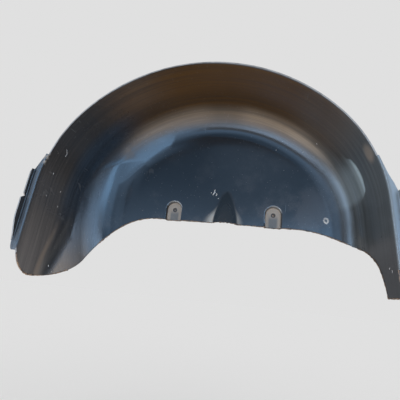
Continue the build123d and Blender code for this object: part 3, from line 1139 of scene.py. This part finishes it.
# scratches and chips: width and points in millimetres from the axle, across, inward and up
wearMarks = {
    "nick": (2.8, ((-3, 200, 127), (-2, 200, 131), (1, 200, 135), (0, 200, 139), (2, 200, 142))),
    "nickSide": (2.0, ((4, 200, 126), (6, 200, 130), (5, 200, 134))),
    "nickFoot": (2.0, ((9, 200, 120), (11, 200, 121), (12, 200, 120))),
    "nickDot": (1.6, ((-8, 200, 133), (-7, 200, 134), (-6, 200, 134))),
    "chip": (3.4, (
        (246, 200, 78), (243, 200, 83), (245, 200, 88), (250, 200, 87), (252, 200, 82), (249, 200, 77), (246, 200, 78),
    )),
    "scratch": (0.9, ((-291, 38, 168), (-293, 44, 163), (-293, 47, 160), (-296, 46, 154))),
    "speckA": (1.9, ((-309, 38, 115), (-309, 38, 113), (-310, 38, 112))),
    "speckB": (1.4, ((-313, 78, 88), (-313, 79, 86), (-313, 78, 85))),
    "speckC": (1.2, ((-316, 83, 56), (-316, 83, 54), (-316, 84, 53))),
    "speckD": (1.3, ((-316, 40, 68), (-316, 39, 67), (-316, 39, 65))),
    "speckE": (1.3, ((195, 192, 238), (195, 192, 236), (194, 192, 235))),
    "speckF": (1.2, ((135, 200, 245), (135, 200, 243), (136, 200, 242))),
    "speckG": (1.2, ((221, 165, 247), (221, 165, 245), (222, 165, 244))),
    "speckH": (1.4, ((324, 31, -27), (324, 31, -29), (324, 32, -31))),
    "speckI": (1.2, ((323, 42, -22), (323, 42, -24), (323, 43, -25))),
    "speckJ": (1.3, ((-320, 99, -68), (-320, 99, -70), (-320, 100, -72))),
    "speckK": (1.3, ((-314, 105, -80), (-314, 105, -82), (-315, 105, -83))),
}
wearRibbon = {"steps": 4, "raised": 0.0005, "uneven": 0.3, "ripple": 2.3, "shift": 5.0, "blunt": 0.6}


# thin ribbons, narrowed at their ends and laid on the wheel side
def makeWear(marks, values, material):
    surface = BVHTree.FromPolygons(sheetPoints.tolist(), sheetCorners[sheetZone == 0].tolist())
    axle, steps = Vector(archPlaces["axle"]), values["steps"]
    points, polygons = [], []
    for width, places in marks.values():
        path = [Vector(place) * 0.001 + axle for place in places]
        fine = [a.lerp(b, k / steps) for a, b in zip(path, path[1:]) for k in range(steps)] + [path[-1]]
        closed = places[0] == places[-1]
        start = len(points)
        for k, place in enumerate(fine):
            found, normal, _, _ = surface.find_nearest(place)
            if normal.y > 0:
                normal = -normal
            along = fine[min(k + 1, len(fine) - 1)] - fine[max(k - 1, 0)]
            share = 1.0 if closed else math.sin(math.pi * (k + 0.35) / (len(fine) - 0.3)) ** values["blunt"]
            wobble = 1.0 + values["uneven"] * math.sin(values["ripple"] * k + values["shift"] * width)
            across = along.cross(normal).normalized() * width * 0.0005 * share * wobble  # half the width, in metres
            points += [found - across, found + normal * values["raised"], found + across]
            if k:
                a = start + 3 * k
                polygons += [(a - 3, a - 2, a + 1, a), (a - 2, a - 1, a + 2, a + 1)]
    mesh = bpy.data.meshes.new("wear_marks")
    mesh.from_pydata([tuple(point) for point in points], [], polygons)
    mesh.materials.append(material)
    return addObject("wear_marks", mesh)


wear = makeWear(wearMarks, wearRibbon, markMaterials["white_scratch"])
print("wear marks:", len(wearMarks))

# plain pale floor and backdrop
studio = {"floorLevel": -0.45, "floorSize": 16.0, "floor": 0.90, "background": 0.745, "fill": 0.83}


def makeFloor(values):
    half, level = values["floorSize"] / 2, values["floorLevel"]
    mesh = bpy.data.meshes.new("floor")
    mesh.from_pydata([
        (-half, -half, level), (half, -half, level), (half, half, level), (-half, half, level),
    ], [], [(0, 1, 2, 3)])
    material, tree = newMaterial("studio_floor")
    shader = put(tree, "ShaderNodeBsdfDiffuse", {"Color": (values["floor"],) * 3 + (1.0,)})
    finishMaterial(tree, shader)
    mesh.materials.append(material)
    floor = addObject("floor", mesh)


# the camera and the gloss see the background, everything else gets the fill
def makeWorld(values):
    world = bpy.data.worlds.new("studio")
    world.use_nodes = True
    tree = world.node_tree
    tree.nodes.clear()
    path = put(tree, "ShaderNodeLightPath").outputs
    seen = calc(tree, "MAXIMUM", path["Is Camera Ray"], path["Is Glossy Ray"])
    seen = calc(tree, "MAXIMUM", seen, path["Is Transmission Ray"])
    level = spread(tree, seen, 0.0, 1.0, values["fill"], values["background"])
    shader = put(tree, "ShaderNodeBackground", {"Color": (1.0, 1.0, 1.0, 1.0), "Strength": level})
    put(tree, "ShaderNodeOutputWorld", {"Surface": shader.outputs[0]})
    scene.world = world


# rows of two corners: an upright card between two places, or one lying between two sides
def uprightRows(left, right, levels):
    return [((*left, level), (*right, level)) for level in levels]


def lyingRows(left, right, level, lines):
    return [((left, line, level), (right, line, level)) for line in lines]


# cards that only the gloss picks up and that hide the bright background from it, with the glow of each strip
frontLevels = (-0.12, 0.22, 0.5, 0.75, 1.05, 1.6, 2.8)
darkCards = {
    "front_left": {
        "rows": uprightRows((-1.35, -2.2), (-0.45, -2.2), frontLevels),
        "glow": (
            (1.38, 2.24, 3.4), (0.88, 1.37, 2.05), (0.37, 0.65, 1.04),
            (0.16, 0.34, 0.58), (0.4, 0.59, 0.85), (0.12, 0.25, 0.42),
        ),
    },
    "front_right": {
        "rows": uprightRows((-0.45, -2.2), (0.62, -2.2), frontLevels),
        "glow": (
            (1.31, 2.17, 3.34), (0.62, 0.99, 1.5), (0.25, 0.46, 0.74),
            (0.35, 0.69, 1.14), (0.7, 0.9, 1.2), (0.12, 0.25, 0.42),
        ),
    },
    "right_card": {
        "rows": uprightRows((2.05, -1.33), (2.46, -0.43), (-0.14, 0.74)),
        "glow": ((0.0, 0.0, 0.0),),
    },
    "back_card": {
        "rows": uprightRows((-1.0, 0.7), (1.0, 0.7), (-0.44, 0.10)),
        "glow": ((0.24, 0.24, 0.26),),
    },
    "floor_card": {
        "rows": lyingRows(-0.8, 1.6, -0.445, (-1.75, -0.85, 0.1)),
        "glow": ((1.13, 2.07, 3.33), (0.4, 0.38, 0.37)),
    },
}


def onlyForGloss(thing):
    thing.visible_camera = False
    thing.visible_diffuse = False
    thing.visible_transmission = False
    thing.visible_shadow = False


# one face a strip; the glow is blended from strip to strip
def makeCard(name, values):
    rows, glows = values["rows"], values["glow"]
    mesh = bpy.data.meshes.new(name)
    strips = [(2 * k, 2 * k + 1, 2 * k + 3, 2 * k + 2) for k in range(len(rows) - 1)]
    mesh.from_pydata([corner for row in rows for corner in row], [], strips)
    blended = (np.array((glows[0], *glows)) + np.array((*glows, glows[-1]))) / 2
    paint = mesh.attributes.new("glow", "FLOAT_COLOR", "POINT")
    paint.data.foreach_set("color", np.repeat(np.insert(blended, 3, 1.0, axis=1), 2, axis=0).ravel())
    material, tree = newMaterial(name + "_glow")
    glow = put(tree, "ShaderNodeAttribute", attribute_name="glow").outputs["Color"]
    finishMaterial(tree, put(tree, "ShaderNodeEmission", {"Color": glow, "Strength": 1.0}))
    mesh.materials.append(material)
    card = addObject(name, mesh)
    onlyForGloss(card)


# soft panels that only the gloss picks up: middle, size in metres and glow, sorted by the way they face
glossPanels = {
    "inwards": {
        "window_low_middle": ((0.175, -1.9, -0.255), (0.55, 0.35), (1.77, 3.73, 6.33)),
        "window_high_middle": ((0.175, -1.9, 0.230), (0.55, 0.22), (0.71, 1.28, 2.05)),
        "window_low_right": ((0.750, -1.9, -0.255), (0.60, 0.35), (0.8, 1.69, 2.87)),
        "window_mid_right": ((0.750, -1.9, 0.020), (0.60, 0.20), (1.96, 4.13, 7.01)),
        "window_high_right": ((0.750, -1.9, 0.230), (0.60, 0.22), (2.21, 4.65, 7.89)),
    },
    "rightwards": {
        "left_low_near": ((-1.45, -0.800, -0.265), (0.40, 0.33), (4.21, 5.82, 7.95)),
        "left_low_far": ((-1.45, -1.350, -0.265), (0.70, 0.33), (2.98, 4.95, 7.55)),
        "left_mid": ((-1.45, -0.625, 0.075), (0.75, 0.35), (2.94, 5.02, 7.77)),
    },
    "toLiner": {
        "right_mid": ((2.04, -2.18, 0.47), (1.4, 0.74), (1.16, 2.44, 4.14)),
        "right_upper": ((2.05, -1.91, 1.125), (3.1, 0.52), (3.74, 5.89, 8.85)),
        "right_high": ((2.12, -0.69, 2.06), (1.83, 1.6), (6.66, 5.23, 3.82)),
        "left_upper": ((-1.94, -1.94, 1.27), (1.6, 1.06), (0.74, 1.55, 2.63)),
    },
    "upwards": {
        "floor_left_front": ((-0.720, -1.300, -0.43), (0.65, 1.00), (3.97, 5.18, 6.79)),
        "floor_left": ((-0.575, -0.260, -0.43), (0.35, 0.48), (5.83, 4.79, 3.81)),
        "floor_middle": ((-0.100, -0.410, -0.43), (0.60, 0.78), (1.37, 0.96, 0.52)),
        "floor_middle_front": ((-0.100, -1.275, -0.43), (0.59, 0.85), (1.41, 0.99, 0.54)),
        "floor_right_front": ((0.520, -1.275, -0.43), (0.65, 0.85), (0.86, 1.82, 3.08)),
        "floor_spot_near": ((0.110, -0.420, -0.427), (0.26, 0.26), (1.74, 1.56, 1.44)),
        "floor_spot_far": ((0.090, -0.700, -0.427), (0.26, 0.30), (1.22, 0.86, 0.46)),
        "floor_right": ((0.900, -0.575, -0.43), (0.60, 0.55), (0.51, 1.07, 1.82)),
    },
}
panelWays = {"inwards": (0.0, 1.0, 0.0), "rightwards": (1.0, 0.0, 0.0), "upwards": (0.0, 0.0, 1.0)}
linerMiddle = (0.0, -0.05, 0.05)


def addPanel(name, place, size, glow, way):
    light = bpy.data.lights.new(name, "AREA")
    light.shape = "RECTANGLE"
    light.size, light.size_y = size
    strength = max(glow)
    light.color = [part / strength for part in glow]
    light.energy = strength * math.pi * light.size * light.size_y
    panel = addObject(name, light)
    panel.location = place
    panel.rotation_euler = (-way).to_track_quat("Z", "Y").to_euler()
    onlyForGloss(panel)


makeFloor(studio)
makeWorld(studio)
for cardName, cardValues in darkCards.items():
    makeCard(cardName, cardValues)
for wayName, panels in glossPanels.items():
    for panelName, (panelPlace, panelSize, panelGlow) in panels.items():
        toLiner = Vector(linerMiddle) - Vector(panelPlace)
        addPanel(panelName, panelPlace, panelSize, panelGlow, Vector(panelWays.get(wayName, toLiner)))
scene.view_settings.view_transform = "Standard"
print("studio made:", len(darkCards), "cards and", sum(map(len, glossPanels.values())), "gloss panels")

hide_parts("arch_liner")
for piece in (sheet, burr, grit, wear):
    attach(piece, "root")
